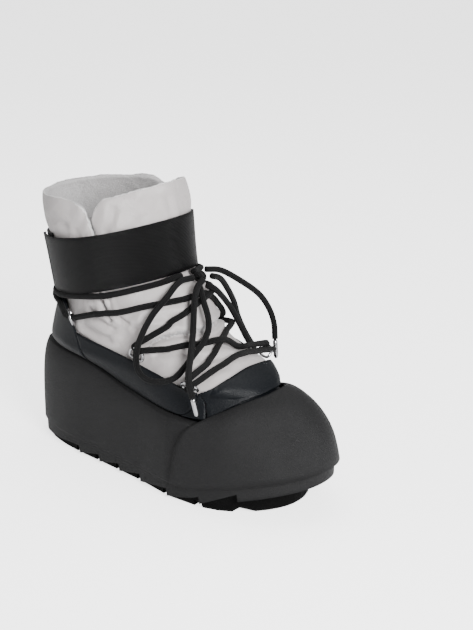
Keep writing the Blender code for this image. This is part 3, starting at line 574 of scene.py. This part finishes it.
# Lace
# One round braided lace: from the knot round the back of the ankle, through the rings and
# across the instep from side to side, and round the back again to the knot.
WRAP_OUT = ((9, 6, 167), (6, 18, 166), (-3, 31, 163), (-22, 46, 157), (-45, 53, 151), (-64, 53, 146),
            (-83, 49, 142), (-103, 37, 140), (-117, 17, 140), (-121, 0, 138), (-117, -18, 137),
            (-103, -37, 136), (-86, -46, 135))
# Each leg of the lace across the instep, with the ring that it comes from
LEGS = (
    ("L1", ((-50, -49, 136), (-29, -47, 140), (-1, -34, 147), (15, -12, 150), (16, 9, 150), (16, 20, 145),
            (15, 29, 131), (10, 36, 121))),
    ("M2", ((15, 34, 118), (26, 23, 118), (36, 6, 114), (43, -13, 109), (48, -28, 103))),
    ("L3", ((53, -27, 101), (54, -11, 104), (53, 15, 104), (52, 29, 101))),
    ("M3", ((50, 26, 104), (45, 13, 108), (36, -7, 115), (23, -27, 118), (10, -37, 117))),
    ("L2", ((10, -33, 127), (20, -16, 142), (20, -1, 146), (14, 18, 148), (-1, 36, 146), (-29, 48, 140))),
)
LAST_RING = "M1"
WRAP_IN = ((-86, 48, 136), (-103, 38, 137), (-117, 19, 139), (-121, 0, 142), (-117, -18, 142),
           (-103, -36, 141), (-83, -48, 143), (-64, -52, 147), (-45, -52, 151), (-22, -46, 157),
           (-3, -31, 163), (6, -18, 166), (9, -6, 167))
RING_WIRE = 0.0024
RING_DIP = 0.0022
HUMP_SLOPE = 0.35
TRIM = 3
GROUND_PIECES = [upper, tongue, strap] + list(overlays.values())


def ground_tree():
    bm = bmesh.new()
    for piece in GROUND_PIECES:
        bm.from_mesh(piece.data)
    tree = BVHTree.FromBMesh(bm)
    bm.free()
    return tree


ground = ground_tree()
laid = []


def relax(route, weight):
    # Each inner point moves towards the middle of its neighbours
    inner = [(a + b * weight + c) / (weight + 2) for a, b, c in zip(route, route[1:], route[2:])]
    return [route[0]] + inner + [route[-1]]


def off_ground(point, height):
    # A point at least this high above the pieces under it
    spot, normal, _, _ = ground.find_nearest(point)
    above = (point - spot).dot(normal)
    return (point + normal * (height - above), normal) if above < height else (point, normal)


def lay(points):
    # A stretch of lace on the boot, over the stretches that were laid before it
    route = []
    for point in smooth_route([metres(p) for p in points], ROUTE_STEP):
        spot, normal, _, _ = ground.find_nearest(point)
        route.append(spot + normal * (LACE * 0.52))
    for _ in range(12):
        route = relax(route, 2)
        route = [off_ground(p, LACE * 0.5)[0] for p in route]
    if laid:
        tree = kdtree.KDTree(len(laid))
        for k, spot in enumerate(laid):
            tree.insert(spot, k)
        tree.balance()
        lifts = np.array([max(LACE * 1.02 - tree.find(p)[2], 0.0) for p in route])
        lifts = np.sqrt(lifts * LACE * 1.6)
        share = np.arange(len(route))
        hump = np.array([np.max(lifts - np.abs(share - k) * ROUTE_STEP * HUMP_SLOPE) for k in share])
        for _ in range(4):
            hump[1:-1] = (hump[:-2] + 2 * hump[1:-1] + hump[2:]) / 4
        route = [p + off_ground(p, 0.0)[1] * max(h, 0.0) for p, h in zip(route, hump)]
    laid.extend(route)
    return route


def ring_turn(ring, arrive, leave):
    # The lace comes over the wire, dips into the ring and goes back out under the wire
    top, foot = metres(ring.top), metres(ring.foot)
    out = (top - foot).normalized()
    normal = ground.find_nearest(top)[1]
    wire = out.cross(normal).normalized()
    normal = wire.cross(out).normalized()
    if normal.dot(ground.find_nearest(top)[1]) < 0:
        normal.negate()
    side = 1.0 if wire.dot(leave - arrive) > 0 else -1.0
    reach = (RING_WIRE + LACE) / 2 * 0.92
    turn = []
    for k in range(9):
        angle = math.pi * k / 8
        across = wire * side * RING_DIP * (k / 4 - 1)
        turn.append(top + normal * reach * math.cos(angle) - out * reach * math.sin(angle) + across)
    return turn


whole = lay(WRAP_OUT)
for ring_name, points in LEGS + ((LAST_RING, WRAP_IN),):
    stretch = lay(points)
    turn = ring_turn(RINGS[ring_name], whole[-TRIM], stretch[TRIM - 1])
    whole = whole[:-TRIM] + turn + stretch[TRIM:]
whole = smooth_route(whole, ROUTE_STEP)
for _ in range(2):
    whole = relax(whole, 4)
lacing = round_bar("lacing", whole, LACE, lace_look)
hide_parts("lace_bars", "lace_wrap")

# Stitches
# Pale thread along the vamp's seam, grey thread round the gusset and dark thread in two zigzag
# rows on the toe piece; each stitch is a short rounded bar that sinks into the cloth at its ends.
TOE_STITCHES = ((30, -49, 85), (43, -40, 96), (54, -25, 101), (60, -8, 101), (61, 8, 101),
                (56, 24, 101), (44, 39, 97))
TOE_ROW_STEP = 2.2


def stitch_row(name, line, piece, look, length, gap, width, lean=0.0):
    tree = surface_tree(piece.data)
    route = smooth_route([metres(p) for p in line], length + gap)
    bm = bmesh.new()
    for number, (a, b) in enumerate(zip(route, route[1:])):
        spot, normal, _, _ = tree.find_nearest((a + b) / 2)
        along = (b - a).normalized()
        across = normal.cross(along).normalized()
        along = across.cross(normal)
        swing = lean * (1 if number % 2 else -1)
        way = (along + across * swing).normalized()
        made = bmesh.ops.create_icosphere(bm, subdivisions=1, radius=0.5)
        other = normal.cross(way)
        for vert in made["verts"]:
            c = vert.co
            lift = normal * (c.z * width * 0.9 + width * 0.15)
            vert.co = spot + way * c.x * length * 1.15 + other * c.y * width + lift
    mesh = bpy.data.meshes.new(name)
    bm.to_mesh(mesh)
    bm.free()
    mesh.materials.append(look)
    mesh.shade_smooth()
    row = bpy.data.objects.new(name, mesh)
    bpy.context.scene.collection.objects.link(row)
    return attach(row, "root")


pale_thread = grained_look("pale_thread", (0.40, 0.40, 0.41), (0.60, 0.60, 0.61), 0.6, 3000, 0.0001)
dark_thread = grained_look("dark_thread", (0.006, 0.007, 0.010), (0.012, 0.014, 0.018), 0.5, 3000, 0.0001)
stitch_row("vamp_stitches", VAMP_SEAM, upper, pale_thread, 0.0022, 0.0008, 0.0009)
stitch_row("gusset_stitches", SLIT, upper, pale_thread, 0.0018, 0.0007, 0.0008)
for number, shift in enumerate((0.0, TOE_ROW_STEP)):
    line = [(x + shift, y, z - shift * 0.4) for x, y, z in TOE_STITCHES]
    stitch_row(f"toe_stitches_{number}", line, overlays["toe_overlay"], dark_thread,
               0.0024, 0.0005, 0.0009, lean=0.5)

# Floor and light
# A plain pale floor, a soft light beyond the toe, a large one above and a weak one on the heel's
# side. The floor glows for the camera alone, so that it doesn't light the boot from below.
FLOOR_GLOW = 2.3
FLOOR_SIZE = 12
WORLD_STRENGTH = 0.42
LAMP_AIM = Vector((0, 0, 0.1))
floor_look, tree, shader = new_look("pale_floor", 0.7)
place = tree.nodes.new("ShaderNodeTexCoord")
haze = tree.nodes.new("ShaderNodeTexNoise")
haze.inputs["Scale"].default_value = 2
tree.links.new(place.outputs["Object"], haze.inputs["Vector"])
tint(tree, shader, (0.84, 0.84, 0.845), (0.88, 0.88, 0.885), haze.outputs[0])
shader.inputs["Emission Color"].default_value = (1.0, 1.0, 1.0, 1.0)
ray = tree.nodes.new("ShaderNodeLightPath")
glow = math_node(tree, "MULTIPLY", ray.outputs["Is Camera Ray"], FLOOR_GLOW)
tree.links.new(glow, shader.inputs["Emission Strength"])
floor_mesh = bpy.data.meshes.new("floor")
bm = bmesh.new()
bmesh.ops.create_grid(bm, x_segments=1, y_segments=1, size=FLOOR_SIZE)
bm.to_mesh(floor_mesh)
bm.free()
floor_mesh.materials.append(floor_look)
floor = bpy.data.objects.new("floor", floor_mesh)
bpy.context.scene.collection.objects.link(floor)

world = bpy.data.worlds.new("studio")
world.use_nodes = True
world.node_tree.nodes["Background"].inputs["Color"].default_value = (1.0, 1.0, 1.0, 1.0)
world.node_tree.nodes["Background"].inputs["Strength"].default_value = WORLD_STRENGTH
bpy.context.scene.world = world
Lamp = namedtuple("Lamp", "name place size power")
LAMPS = (
    Lamp("toe_light", (1.15, -0.55, 0.75), 0.5, 42.0),
    Lamp("top_light", (-0.2, 0.3, 1.6), 1.2, 18.0),
    Lamp("heel_light", (-1.2, -1.2, 0.8), 0.8, 5.0),
)
for lamp in LAMPS:
    data = bpy.data.lights.new(lamp.name, "AREA")
    data.size = lamp.size
    data.energy = lamp.power
    light = bpy.data.objects.new(lamp.name, data)
    light.location = lamp.place
    light.rotation_mode = "QUATERNION"
    light.rotation_quaternion = (LAMP_AIM - Vector(lamp.place)).to_track_quat("-Z", "Y")
    bpy.context.scene.collection.objects.link(light)
